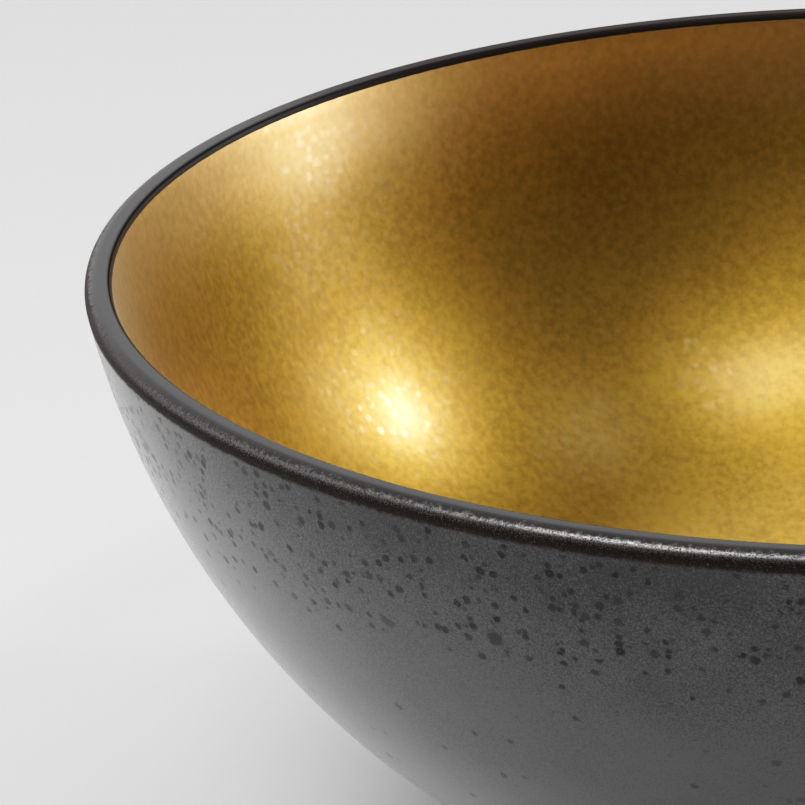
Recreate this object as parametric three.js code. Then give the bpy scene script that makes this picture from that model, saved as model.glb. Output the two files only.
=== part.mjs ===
// A round porcelain bowl: one spherical shell with a flat-crested lip, standing on a low foot ring.
// Millimetres, +Z up. The origin is the middle of the foot ring, on the surface the bowl stands on.

import * as THREE from 'three';

// Driving dimensions.
const height = 86; // foot ring to the crest of the lip
const ballRadius = 112.7; // the outside of the wall is part of a ball this big
const lipBelowBall = 23.7; // the middle of the lip lies this far under the middle of that ball
const lipThickness = 3.8; // the lip is as thick as the wall under it
const lipOuterRound = 1.7; // rounding of the lip's outer edge, below its flat crest
const lipInnerRound = 0.8; // tighter rounding of its inner edge
const floorThickness = 6; // porcelain between the hollow underside and the inside
const floorSpread = 8; // the larger, the closer to the middle the wall begins to thicken
const footRadius = 45; // outside of the foot ring
const footWidth = 4.6; // width of the foot ring
const footHollow = 2.6; // depth of the hollow inside the foot ring
const footEdge = 0.7; // rounding of the ring's two lower edges
const hollowCorner = 1.2; // rounding where the hollow meets the ring
const glazePool = 2; // rounding where the wall meets the ring

// Fineness of the faceting.
const turnSteps = 72;
const wallSteps = 15;
const lipSteps = 8;
const cornerSteps = 3;
const lipInnerSteps = 4;

// Satin metallic glaze, as on the outside.
const glaze = { color: 0x4c4b4a, roughness: 0.42, metalness: 0.75 };

// Places worked out from the driving dimensions.
const quarter = Math.PI / 2;
const ballHeight = height - lipThickness / 2 + lipBelowBall;
const outerHeight = height - lipOuterRound;
const outerCentre = Math.sqrt((ballRadius - lipOuterRound) ** 2 - (ballHeight - outerHeight) ** 2);
const outerAngle = -Math.atan2(ballHeight - outerHeight, outerCentre);
const insideRadius = ballRadius - lipThickness;
const innerHeight = height - lipInnerRound;
const innerCentre = Math.sqrt((insideRadius + lipInnerRound) ** 2 - (ballHeight - innerHeight) ** 2);
const innerAngle = -Math.atan2(ballHeight - innerHeight, innerCentre);
const footInside = footRadius - footWidth;
const floorHeight = footHollow + floorThickness;
const floorBuild = insideRadius - (ballHeight - floorHeight);
const poolCentre = footRadius + glazePool;
const poolDrop = Math.sqrt((ballRadius + glazePool) ** 2 - poolCentre ** 2);
const poolAngle = -Math.atan2(poolDrop, poolCentre);

// Points of a circular arc about (centre, middle), as radius and height.
function arc(centre, middle, radius, from, to, steps) {
  return Array.from({ length: steps + 1 }, (_, step) => {
    const angle = from + ((to - from) * step) / steps;
    return new THREE.Vector2(centre + radius * Math.cos(angle), middle + radius * Math.sin(angle));
  });
}

// Inside of the bowl, from the lip down to the axis: even at first, then thicker towards the floor.
function insideCurve() {
  return Array.from({ length: wallSteps }, (_, step) => {
    const angle = innerAngle - ((quarter + innerAngle) * (step + 1)) / wallSteps;
    const reach = insideRadius - floorBuild * Math.abs(Math.sin(angle)) ** floorSpread;
    const radius = step === wallSteps - 1 ? 0 : reach * Math.cos(angle);
    return new THREE.Vector2(radius, ballHeight + reach * Math.sin(angle));
  });
}

// Half section of the bowl: underside, foot ring, outside, lip and inside.
function section() {
  const hollowRadius = footInside - hollowCorner;
  const hollowMiddle = footHollow - hollowCorner;
  const poolMiddle = ballHeight - poolDrop;
  return [
    new THREE.Vector2(0, footHollow),
    ...arc(hollowRadius, hollowMiddle, hollowCorner, quarter, 0, cornerSteps),
    ...arc(footInside + footEdge, footEdge, footEdge, 2 * quarter, 3 * quarter, cornerSteps),
    ...arc(footRadius - footEdge, footEdge, footEdge, -quarter, 0, cornerSteps),
    ...arc(poolCentre, poolMiddle, glazePool, 2 * quarter, 2 * quarter + poolAngle, cornerSteps),
    ...arc(0, ballHeight, ballRadius, poolAngle, outerAngle, wallSteps).slice(1),
    ...arc(outerCentre, outerHeight, lipOuterRound, outerAngle, quarter, lipSteps).slice(1),
    ...arc(innerCentre, innerHeight, lipInnerRound, quarter, 2 * quarter + innerAngle, lipInnerSteps),
    ...insideCurve(),
  ];
}

const bowl = new THREE.Mesh(
  new THREE.LatheGeometry(section(), turnSteps),
  new THREE.MeshStandardMaterial(glaze),
);
bowl.name = 'bowl';
bowl.rotation.x = quarter;

const group = new THREE.Group();
group.add(bowl);

export default group;
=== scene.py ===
import math

import bpy
from mathutils import Matrix, Vector


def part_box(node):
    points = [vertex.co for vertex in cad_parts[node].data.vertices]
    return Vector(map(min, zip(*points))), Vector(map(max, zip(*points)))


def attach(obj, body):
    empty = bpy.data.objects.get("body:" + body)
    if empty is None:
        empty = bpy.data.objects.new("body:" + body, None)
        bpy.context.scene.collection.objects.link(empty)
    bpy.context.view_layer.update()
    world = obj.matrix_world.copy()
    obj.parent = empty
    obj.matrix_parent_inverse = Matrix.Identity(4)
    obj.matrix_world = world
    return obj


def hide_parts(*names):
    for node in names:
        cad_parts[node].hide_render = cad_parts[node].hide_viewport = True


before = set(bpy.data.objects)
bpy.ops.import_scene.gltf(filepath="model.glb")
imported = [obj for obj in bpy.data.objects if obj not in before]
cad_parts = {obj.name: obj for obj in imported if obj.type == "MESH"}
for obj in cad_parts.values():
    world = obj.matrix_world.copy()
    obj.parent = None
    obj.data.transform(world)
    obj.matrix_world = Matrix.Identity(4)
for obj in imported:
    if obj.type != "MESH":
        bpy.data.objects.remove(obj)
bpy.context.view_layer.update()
bowlLow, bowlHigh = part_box("bowl")
print("frame loaded, bowl", [round(side, 4) for side in bowlHigh - bowlLow])

# one porcelain bowl, sizes in metres
bowlSize = {
    "height": 0.086,  # foot ring to the crest of the lip
    "ballRadius": 0.1127,  # the outside of the wall is part of this ball
    "lipBelowBall": 0.0237,  # the middle of the lip lies this far under the ball's middle
    "lipThickness": 0.0038,
    "lipOuterRound": 0.0017,  # the crest between the two roundings is flat
    "lipInnerRound": 0.0008,
    "floorThickness": 0.006,
    "floorSpread": 8,  # larger keeps the wall thin further down
    "footRadius": 0.045,
    "footWidth": 0.0046,
    "footHollow": 0.0026,
    "footEdge": 0.0007,
    "hollowCorner": 0.0012,
    "glazePool": 0.002,  # rounding where wall and foot ring meet
    "turnSteps": 288,
    "wallSteps": 64,
    "lipSteps": 20,
    "lipInnerSteps": 14,
    "cornerSteps": 7,
    "flatSteps": 10,
    "weld": 0.00001,  # points closer than this become one
}


def workOut(size):
    lipHeight = size["height"] - size["lipThickness"] / 2
    ballHeight = lipHeight + size["lipBelowBall"]
    insideRadius = size["ballRadius"] - size["lipThickness"]
    outerHeight = size["height"] - size["lipOuterRound"]
    innerHeight = size["height"] - size["lipInnerRound"]
    outerReach = size["ballRadius"] - size["lipOuterRound"]
    innerReach = insideRadius + size["lipInnerRound"]
    return {
        "lipHeight": lipHeight,  # middle of the lip
        "ballHeight": ballHeight,
        "insideRadius": insideRadius,
        "outerHeight": outerHeight,
        "innerHeight": innerHeight,
        "outerCentre": math.sqrt(outerReach ** 2 - (ballHeight - outerHeight) ** 2),
        "innerCentre": math.sqrt(innerReach ** 2 - (ballHeight - innerHeight) ** 2),
        "outerAngle": -math.asin((ballHeight - outerHeight) / outerReach),
        "innerAngle": -math.asin((ballHeight - innerHeight) / innerReach),
    }


bowlPlaces = workOut(bowlSize)


def arc(centre, middle, radius, start, end, steps):
    angles = [start + (end - start) * step / steps for step in range(steps + 1)]
    return [(centre + radius * math.cos(a), middle + radius * math.sin(a)) for a in angles]


def bowlSection(size, places):
    # half section as radius and height: underside, foot ring, outside, lip, inside
    quarter = math.pi / 2
    footInside = size["footRadius"] - size["footWidth"]
    edge = size["footEdge"]
    corner = size["hollowCorner"]
    pool = size["glazePool"]
    ball = size["ballRadius"]
    ballHeight = places["ballHeight"]
    outerAngle = places["outerAngle"]
    innerAngle = places["innerAngle"]
    poolCentre = size["footRadius"] + pool
    poolDrop = math.sqrt((ball + pool) ** 2 - poolCentre ** 2)
    poolAngle = -math.atan2(poolDrop, poolCentre)
    hollowRadius = footInside - corner
    flat = size["flatSteps"]
    corners = size["cornerSteps"]
    points = [(hollowRadius * step / flat, size["footHollow"]) for step in range(flat)]
    points += arc(hollowRadius, size["footHollow"] - corner, corner, quarter, 0, corners)
    points += arc(footInside + edge, edge, edge, math.pi, 3 * quarter, corners)
    points += arc(size["footRadius"] - edge, edge, edge, -quarter, 0, corners)
    points += arc(poolCentre, ballHeight - poolDrop, pool, math.pi, math.pi + poolAngle, corners)
    points += arc(0, ballHeight, ball, poolAngle, outerAngle, size["wallSteps"])[1:]
    points += arc(
        places["outerCentre"], places["outerHeight"], size["lipOuterRound"],
        outerAngle, quarter, size["lipSteps"],
    )[1:]
    points += arc(
        places["innerCentre"], places["innerHeight"], size["lipInnerRound"],
        quarter, math.pi + innerAngle, size["lipInnerSteps"],
    )
    floorBuild = places["insideRadius"] - (ballHeight - size["footHollow"] - size["floorThickness"])
    for step in range(1, size["wallSteps"] + 1):
        angle = innerAngle - (quarter + innerAngle) * step / size["wallSteps"]
        reach = places["insideRadius"] - floorBuild * abs(math.sin(angle)) ** size["floorSpread"]
        radius = 0 if step == size["wallSteps"] else reach * math.cos(angle)
        points.append((radius, ballHeight + reach * math.sin(angle)))
    return points


def turnBowl(size, places):
    section = bowlSection(size, places)
    bpy.ops.object.select_all(action="DESELECT")
    startSize = 0.001
    bpy.ops.mesh.primitive_plane_add(size=startSize, location=(0, 0, section[0][1]))
    bowl = bpy.context.object
    bowl.name = "bowlShell"
    bpy.ops.object.transform_apply(location=True, rotation=False, scale=False)
    bpy.ops.object.mode_set(mode="EDIT")
    bpy.ops.mesh.select_mode(type="VERT")
    bpy.ops.mesh.select_all(action="SELECT")
    bpy.ops.mesh.merge(type="CENTER")  # one point on the axis to draw the section from
    for here, there in zip(section, section[1:]):
        step = (there[0] - here[0], 0, there[1] - here[1])
        bpy.ops.mesh.extrude_region_move(TRANSFORM_OT_translate={"value": step})
    bpy.ops.mesh.select_all(action="SELECT")
    bpy.ops.mesh.spin(
        steps=size["turnSteps"], angle=2 * math.pi, center=(0, 0, 0), axis=(0, 0, 1), dupli=False
    )
    bpy.ops.mesh.select_all(action="SELECT")
    bpy.ops.mesh.remove_doubles(threshold=size["weld"])
    bpy.ops.mesh.normals_make_consistent(inside=False)
    bpy.ops.object.mode_set(mode="OBJECT")
    bpy.ops.object.shade_smooth()
    print("bowl turned,", len(bowl.data.polygons), "faces")
    return bowl


class Wire:
    # one socket of a shader, so that its maths can be written as sums
    def __init__(self, tree, socket=None):
        self.tree = tree
        self.socket = socket

    def node(self, kind, settings=None, inputs=None, output=0):
        made = self.tree.nodes.new(kind)
        for name, value in (settings or {}).items():
            setattr(made, name, value)
        for name, value in (inputs or {}).items():
            if isinstance(value, Wire):
                self.tree.links.new(value.socket, made.inputs[name])
            else:
                made.inputs[name].default_value = value
        return Wire(self.tree, made.outputs[output])

    def math(self, operation, *values):
        return self.node("ShaderNodeMath", {"operation": operation}, dict(enumerate(values)))

    def __add__(self, other):
        return self.math("ADD", self, other)

    def __radd__(self, other):
        return self.math("ADD", other, self)

    def __sub__(self, other):
        return self.math("SUBTRACT", self, other)

    def __rsub__(self, other):
        return self.math("SUBTRACT", other, self)

    def __mul__(self, other):
        return self.math("MULTIPLY", self, other)

    def __rmul__(self, other):
        return self.math("MULTIPLY", other, self)

    def __neg__(self):
        return self.math("MULTIPLY", self, -1)

    def larger(self, other):
        return self.math("MAXIMUM", self, other)

    def ease(self, low, high, fromValue=0.0, toValue=1.0):
        # soft step from one value to the other
        return self.node(
            "ShaderNodeMapRange", {"interpolation_type": "SMOOTHSTEP"},
            {"Value": self, "From Min": low, "From Max": high, "To Min": fromValue, "To Max": toValue},
        )

    def above(self, line, soft):
        return self.ease(line - soft, line + soft)

    def below(self, line, soft):
        return self.ease(line + soft, line - soft)

    def vector(self, operation, inputs, output=0):
        return self.node(
            "ShaderNodeVectorMath", {"operation": operation}, {0: self, **inputs}, output
        )

    def part(self, axis):
        return self.node("ShaderNodeSeparateXYZ", {}, {"Vector": self}, axis)

    def noise(self, grain, detail=2.0, rough=0.5):
        # grain is the size of one cloud, in the units of this vector
        return self.node(
            "ShaderNodeTexNoise", {},
            {"Vector": self, "Scale": 1 / grain, "Detail": detail, "Roughness": rough}, "Fac",
        )

    def sway(self, grain, detail=2.0, rough=0.5):
        # the same to both sides of 0
        return self.noise(grain, detail, rough) - 0.5

    def cells(self, grain):
        return self.node(
            "ShaderNodeTexVoronoi", {"feature": "F1"}, {"Vector": self, "Scale": 1 / grain}, "Distance"
        )

    def beside(self, output):
        # another output of the same node
        return Wire(self.tree, self.socket.node.outputs[output])

    def blend(self, one, other):
        # colours, from one to the other as this value goes from 0 to 1
        return self.node(
            "ShaderNodeMix", {"data_type": "RGBA", "clamp_factor": True}, {0: self, 6: one, 7: other}, 2
        )


def startMaterial(name):
    material = bpy.data.materials.new(name)
    material.use_nodes = True
    material.node_tree.nodes.clear()
    return material, Wire(material.node_tree)


def gloss(start, settings):
    return start.node("ShaderNodeBsdfPrincipled", {}, settings, "BSDF")


def over(share, under, upper):
    return share.node("ShaderNodeMixShader", {}, {0: share, 1: under, 2: upper})


def close(shader):
    output = shader.tree.nodes.new("ShaderNodeOutputMaterial")
    shader.tree.links.new(shader.socket, output.inputs["Surface"])


mmPerMetre = 1000

# finishes of the bowl, lengths in mm
glazeLooks = {
    "gunmetal": (0.111, 0.11, 0.11, 1),
    "gunmetalDark": (0.028, 0.0275, 0.0275, 1),
    "spot": (0.011, 0.0105, 0.01, 1),
    "crest": (0.026, 0.0225, 0.023, 1),
    "crestDark": (0.016, 0.0135, 0.0135, 1),
    "brown": (0.021, 0.015, 0.0125, 1),
    "flake": (0.21, 0.203, 0.202, 1),
    "flakeEdge": (0.3, 0.27, 0.25, 1),  # how little the lip's flakes shine when seen flat
    "gold": (0.82, 0.535, 0.1, 1),
    "goldDark": (0.42, 0.24, 0.03, 1),
    "goldPaintedSheen": (0.85, 0.61, 0.28, 1),  # painted pale sheen, close under the lip
    "glint": (1.0, 0.97, 0.9, 1),
    "bare": (0.72, 0.68, 0.61, 1),
    # heights above the middle of the lip
    "goldLine": 1.0,  # the gold reaches up to here
    "paintedSheenBand": (-17, -1),  # and has the painted pale sheen from here to here
    "lipBand": -0.75,  # the lip's own glaze reaches down to here
    "brownTop": 1.45,  # and is brown up to here
    "innerCorner": (1.85, 1.5),  # it grows rougher down the lip's inner rounding
    "flakeRise": (0.2, 1.1),  # flakes lie closer from here to here
    # places and sizes
    "brownBack": (45, 85),  # the brown goes over the crest this far behind the middle
    "hollowTop": (4.5, 6.5),  # below this height is the hollow under the foot, which has no gold
    "bareTop": 0.6,  # the foot is bare up to this height
    "raggedEdge": 0.7,
    "grain": 0.28,
    "cloud": 14,
    "paintedShadeUnder": (14, 2),  # painted shade: the gunmetal is darker this close under the lip
    "paintedLightLow": (10, 34),  # and painted light makes it lighter further down
    "spotBand": 18,  # most spots lie within this of the lip
    "spotLean": (50, -60),  # and more of them to the left
    "clump": 8,
    "spots": {"spacing": 1.45, "small": 0.38, "large": 0.7, "soft": 0.2},
    "blotches": {"spacing": 4.6, "small": 0.7, "large": 1.2, "soft": 0.45},
    "spotPit": 0.12,
    "flakeSize": 0.18,
    "mottle": 1.2,
    "patch": 16,
    "dropSpacing": 1.3,
    "dropTilt": 0.065,  # slope of a drop
    "dropSide": (-15, -40),  # only left of here
    # how strongly each shows
    "grainDepth": 2.7,
    "crestGrain": 2,
    "cloudDepth": 0.8,
    "paintedShadeDepth": 0.3,
    "paintedLightDepth": 0.4,
    "mottleDepth": 0.55,
    "patchDepth": 0.55,
    "spotChance": 0.22,  # of a spot in a cell of the band
    "clumpChance": 0.55,  # added where spots crowd
    "strayChance": 0.02,  # anywhere outside
    "blotchChance": 0.45,
    "brownBackShare": 0.7,
    "filmLoss": 0.004,
    "dropShare": 0.05,
    # gloss
    "gunmetalRough": 0.4,
    "crestRough": 0.2,
    "cornerRough": 0.25,  # added on the lip's inner rounding
    "brownRough": 0.55,
    "flakeRough": 0.34,
    "goldRough": 0.395,
    "filmRough": (0.2, 0.4),  # seen straight and seen flat
    "dropRough": 0.18,
    "bareRough": 0.7,
}


def spotLayer(mm, wobble, chance, spot, pitSize):
    # round spots, at most one in each cell, some with a paler pit
    spacing = spot["spacing"]
    cell = mm.cells(spacing)
    draw = cell.beside("Color")
    pick = draw.part("Z")
    present = (chance - draw.part("X")).above(0, 0.02)
    radius = draw.part("Y") * ((spot["large"] - spot["small"]) / spacing) + spot["small"] / spacing
    depth = (cell + wobble * (0.4 / spacing) - radius).below(0, spot["soft"] / spacing)
    pit = cell.below(pitSize / spacing, 0.08 / spacing) * pick.ease(0.7, 0.75)
    strength = pick * 0.5 + 0.5
    return present * depth * strength * (1 - pit * 0.7)


def bowlGlaze(size, places, looks):
    material, start = startMaterial("bowlGlaze")
    mm = start.node("ShaderNodeTexCoord", {}, {}, "Object").vector("SCALE", {"Scale": mmPerMetre})
    height = mm.part("Z")
    ballMiddle = (0, 0, places["ballHeight"] * mmPerMetre)
    reach = mm.vector("SUBTRACT", {1: ballMiddle}).vector("LENGTH", {}, "Value")
    lift = height - places["lipHeight"] * mmPerMetre
    under = -lift

    # where each finish lies
    middleOfWall = (size["ballRadius"] - size["lipThickness"] / 2) * mmPerMetre
    inside = reach.below(middleOfWall, 0.05) * height.ease(*looks["hollowTop"])
    gold = inside * (lift + mm.sway(1.5) * 0.12).below(looks["goldLine"], 0.04)
    ragged = mm.sway(looks["raggedEdge"], 3, 0.65)
    lip = (lift + ragged * 1.1).above(looks["lipBand"], 0.4) * (1 - gold)
    brown = lip * (lift + ragged * 1.8).below(looks["brownTop"], 0.3) * (1 - inside)
    atBack = mm.part("Y").ease(*looks["brownBack"]) * looks["brownBackShare"]
    brown = brown.larger(lip * inside * atBack)
    bare = (height + mm.sway(2) * 0.3).below(looks["bareTop"], 0.15)
    glazed = 1 - bare
    outside = (1 - gold) * (1 - lip)

    # gunmetal with fine grain and dark spots, with painted shade close under the lip and painted light
    # further down
    grain = mm.sway(looks["grain"], 2, 0.7)
    cloud = mm.sway(looks["cloud"], 3)
    band = under.ease(0.8, 1.8) * under.ease(looks["spotBand"] * 1.4, looks["spotBand"] * 0.6)
    clump = mm.noise(looks["clump"], 1).ease(0.36, 0.6)
    lean = mm.part("X").ease(*looks["spotLean"])
    chance = clump * looks["clumpChance"] + looks["spotChance"]
    chance = band * chance * (lean * 0.75 + 0.25) + looks["strayChance"]
    spots = spotLayer(mm, grain, chance, looks["spots"], looks["spotPit"])
    chance = band * clump * looks["blotchChance"]
    blotches = spotLayer(mm, grain, chance, looks["blotches"], looks["spotPit"])
    dark = spots.larger(blotches * 0.75)
    clouded = cloud * looks["cloudDepth"] + 0.5
    toneWithPaintedShading = grain * looks["grainDepth"] + clouded
    # painted shade: darker close under the lip
    toneWithPaintedShading = toneWithPaintedShading - under.ease(*looks["paintedShadeUnder"]) * looks["paintedShadeDepth"]
    # painted light: lighter further down the wall
    toneWithPaintedShading = toneWithPaintedShading + under.ease(*looks["paintedLightLow"]) * looks["paintedLightDepth"]
    gunmetal = toneWithPaintedShading.blend(looks["gunmetalDark"], looks["gunmetal"])
    gunmetal = dark.blend(gunmetal, looks["spot"])

    # mottled gold, smoother close under the lip, where a pale sheen is painted
    paintedSheen = lift.ease(*looks["paintedSheenBand"])
    mottle = mm.noise(looks["mottle"], 2, 0.55) + mm.sway(looks["patch"], 2) * looks["patchDepth"]
    mottle = mottle.ease(0.2, 0.85) * (1 - paintedSheen * 0.5)
    # painted sheen: paler gold close under the lip
    goldColour = paintedSheen.blend(looks["gold"], looks["goldPaintedSheen"])
    goldColour = (mottle * looks["mottleDepth"]).blend(goldColour, looks["goldDark"])

    # dark glossy crest, and all of it in one
    crest = (grain * looks["crestGrain"] + clouded).blend(looks["crestDark"], looks["crest"])
    crestRough = looks["crestRough"] + inside * lift.ease(*looks["innerCorner"]) * looks["cornerRough"]
    colour = lip.blend(gunmetal, crest)
    colour = gold.blend(colour, goldColour)
    colour = bare.blend(colour, looks["bare"])
    rough = outside * (looks["gunmetalRough"] + dark * 0.1) + gold * looks["goldRough"] + lip * crestRough
    body = gloss(start, {
        "Base Color": colour,
        "Metallic": glazed * (1 - lip),
        "Roughness": rough * glazed + bare * looks["bareRough"],
        "Coat Weight": glazed * outside * (1 - dark * 0.4), "Coat Roughness": 0.2, "Coat IOR": 1.55,
    })

    # matt brown outer edge of the lip, with metal flakes that lie closer towards the crest
    flakes = mm.noise(looks["flakeSize"], 2, 0.6) + lift.ease(*looks["flakeRise"]) * 0.26
    flakes = flakes.ease(0.55, 0.82) * (1 - inside)
    matt = gloss(start, {
        "Base Color": flakes.blend(looks["brown"], looks["flake"]),
        "Metallic": flakes,
        "Roughness": looks["brownRough"] + flakes * (looks["flakeRough"] - looks["brownRough"]),
        "Specular IOR Level": 0.25, "Specular Tint": looks["flakeEdge"],
    })
    body = over(brown, body, matt)

    # thin clear glaze over the gold
    mirror = start.node("ShaderNodeFresnel", {}, {"IOR": 1.5}, "Fac")
    film = gloss(start, {
        "Base Color": looks["glint"], "Metallic": 1.0,
        "Roughness": mirror.ease(0.06, 0.35, *looks["filmRough"]),
    })
    body = over(gold * (mirror - looks["filmLoss"]), body, film)

    # with drops in it, each tilted its own way, that catch a lamp as glints
    drops = mm.cells(looks["dropSpacing"])
    draw = drops.beside("Color")
    across = mm.vector("SUBTRACT", {1: drops.beside("Position")})
    tilt = draw.vector("SUBTRACT", {1: (0.5, 0.5, 0.5)})
    slope = across.vector("DOT_PRODUCT", {1: tilt}, "Value") * gold * looks["dropTilt"]
    bump = start.node(
        "ShaderNodeBump", {}, {"Strength": 1.0, "Distance": 1 / mmPerMetre, "Height": slope}, "Normal"
    )
    glint = gloss(start, {
        "Base Color": looks["glint"], "Metallic": 1.0, "Roughness": looks["dropRough"], "Normal": bump,
    })
    gleam = drops.ease(0.68, 0.32) * draw.part("X").ease(0.1, 0.9) * mm.part("X").ease(*looks["dropSide"])
    close(over(gold * gleam * looks["dropShare"], body, glint))
    return material


bowl = turnBowl(bowlSize, bowlPlaces)
bowl.data.materials.append(bowlGlaze(bowlSize, bowlPlaces, glazeLooks))
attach(bowl, "root")
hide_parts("bowl")
print("bowl glazed")

# pale floor
floorLooks = {"side": 8.0, "colour": (0.89, 0.89, 0.89, 1), "rough": 0.75, "shine": 0.2}


def layFloor(looks):
    bpy.ops.object.select_all(action="DESELECT")
    bpy.ops.mesh.primitive_plane_add(size=looks["side"], location=(0, 0, 0))
    floor = bpy.context.object
    floor.name = "paleFloor"
    material, start = startMaterial("paleFloor")
    close(gloss(start, {
        "Base Color": looks["colour"], "Roughness": looks["rough"], "Specular IOR Level": looks["shine"],
    }))
    floor.data.materials.append(material)


layFloor(floorLooks)
print("floor laid")

# soft studio light: turn is seen from above, 0 straight behind the bowl and 90 to its right
lampAway = 1.4
lamps = {
    "frontSoftbox": {"turn": -140, "lift": 50, "size": (0.9, 0.6), "bright": 5.0},
    "highRight": {"turn": 86, "lift": 52, "size": (0.35, 0.25), "bright": 0.78},
    "frontRight": {"turn": 141, "lift": 62, "size": (0.45, 0.25), "bright": 4.5},
    "rightLamp": {"turn": 65.3, "lift": 27.6, "size": (0.11, 0.11), "bright": 33.0},
    "rightLampGlow": {"turn": 70, "lift": 27, "size": (0.45, 0.45), "bright": 1.2},
    "backRight": {"turn": 56, "lift": 19, "size": (0.2, 0.2), "bright": 1.7},
    "lowRight": {"turn": 76.5, "lift": 3, "size": (0.3, 0.12), "bright": 6.0},
    "lowRightGlow": {"turn": 70, "lift": 6, "size": (0.4, 0.3), "bright": 1.15},
}

# pale surfaces further off: edge is how closely they are faced, top where they fade out upwards
skyLooks = {
    "patches": [
        {"turn": -48, "lift": 47, "edge": (0.48, 0.7), "bright": 0.9},
        {"turn": 65, "lift": 0, "edge": (0.7, 0.95), "top": (0.4, 0.15), "bright": 0.76},
        {"turn": 70, "lift": 0, "edge": (0.84, 0.975), "top": (0.15, 0.05), "bright": 2.0},
    ],
    "shown": 0.72,  # plain backdrop that the camera sees
}


def aimed(place):
    turn = math.radians(place["turn"])
    lift = math.radians(place["lift"])
    return Vector((math.sin(turn) * math.cos(lift), math.cos(turn) * math.cos(lift), math.sin(lift)))


def hangLamps(lamps, aim, away):
    for name, lamp in lamps.items():
        way = aimed(lamp)
        bpy.ops.object.light_add(type="AREA", location=aim + way * away)
        light = bpy.context.object
        light.name = name
        light.rotation_mode = "QUATERNION"
        light.rotation_quaternion = way.to_track_quat("Z", "Y")
        light.data.shape = "RECTANGLE"
        light.data.size, light.data.size_y = lamp["size"]
        light.data.energy = lamp["bright"] * math.pi * lamp["size"][0] * lamp["size"][1]
        light.visible_camera = False


def lightSky(looks):
    world = bpy.data.worlds.new("studio")
    bpy.context.scene.world = world
    world.use_nodes = True
    world.node_tree.nodes.clear()
    start = Wire(world.node_tree)
    way = start.node("ShaderNodeTexCoord", {}, {}, "Generated")
    up = way.part("Z")
    bright = 0
    for patch in looks["patches"]:
        glow = way.vector("DOT_PRODUCT", {1: aimed(patch)}, "Value").ease(*patch["edge"])
        if "top" in patch:
            glow = glow * up.ease(*patch["top"])
        bright = bright + glow * patch["bright"]
    seen = start.node("ShaderNodeLightPath", {}, {}, "Is Camera Ray")
    bright = bright * (1 - seen) + looks["shown"] * seen
    colour = start.node("ShaderNodeCombineColor", {}, {0: bright, 1: bright, 2: bright})
    sky = start.node("ShaderNodeBackground", {}, {"Color": colour, "Strength": 1.0})
    output = start.tree.nodes.new("ShaderNodeOutputWorld")
    start.tree.links.new(sky.socket, output.inputs["Surface"])


hangLamps(lamps, Vector((0, 0, bowlPlaces["lipHeight"])), lampAway)
lightSky(skyLooks)
print("lamps hung")

# camera of the photograph: long lens, a little above the rim
cameraLooks = {
    "stand": (0.0, -0.8223, 0.37445),
    "turn": -4.756,  # degrees to the right of straight ahead
    "dip": 20.638,
    "roll": -1.558,
    "lens": 290.7,
    "sensor": 36.0,
}


def standCamera(looks):
    data = bpy.data.cameras.new("photoCamera")
    data.lens = looks["lens"]
    data.sensor_width = looks["sensor"]
    camera = bpy.data.objects.new("photoCamera", data)
    bpy.context.scene.collection.objects.link(camera)
    aim = Matrix.Rotation(math.radians(-looks["turn"]), 4, "Z")
    tilt = Matrix.Rotation(math.radians(90 - looks["dip"]), 4, "X")
    roll = Matrix.Rotation(math.radians(looks["roll"]), 4, "Z")
    camera.matrix_world = Matrix.Translation(looks["stand"]) @ aim @ tilt @ roll
    bpy.context.scene.camera = camera


standCamera(cameraLooks)
print("camera stands")

# contrast of the print: darker darks, softer highlights
printCurve = [(0.06, 0.041), (0.25, 0.265), (0.6, 0.673)]


def setPrint(curve):
    view = bpy.context.scene.view_settings
    view.view_transform = "Standard"
    view.use_curve_mapping = True
    allColours = 3  # the curve for red, green and blue together
    line = view.curve_mapping.curves[allColours]
    for dark, light in curve:
        line.points.new(dark, light)
    view.curve_mapping.update()


setPrint(printCurve)
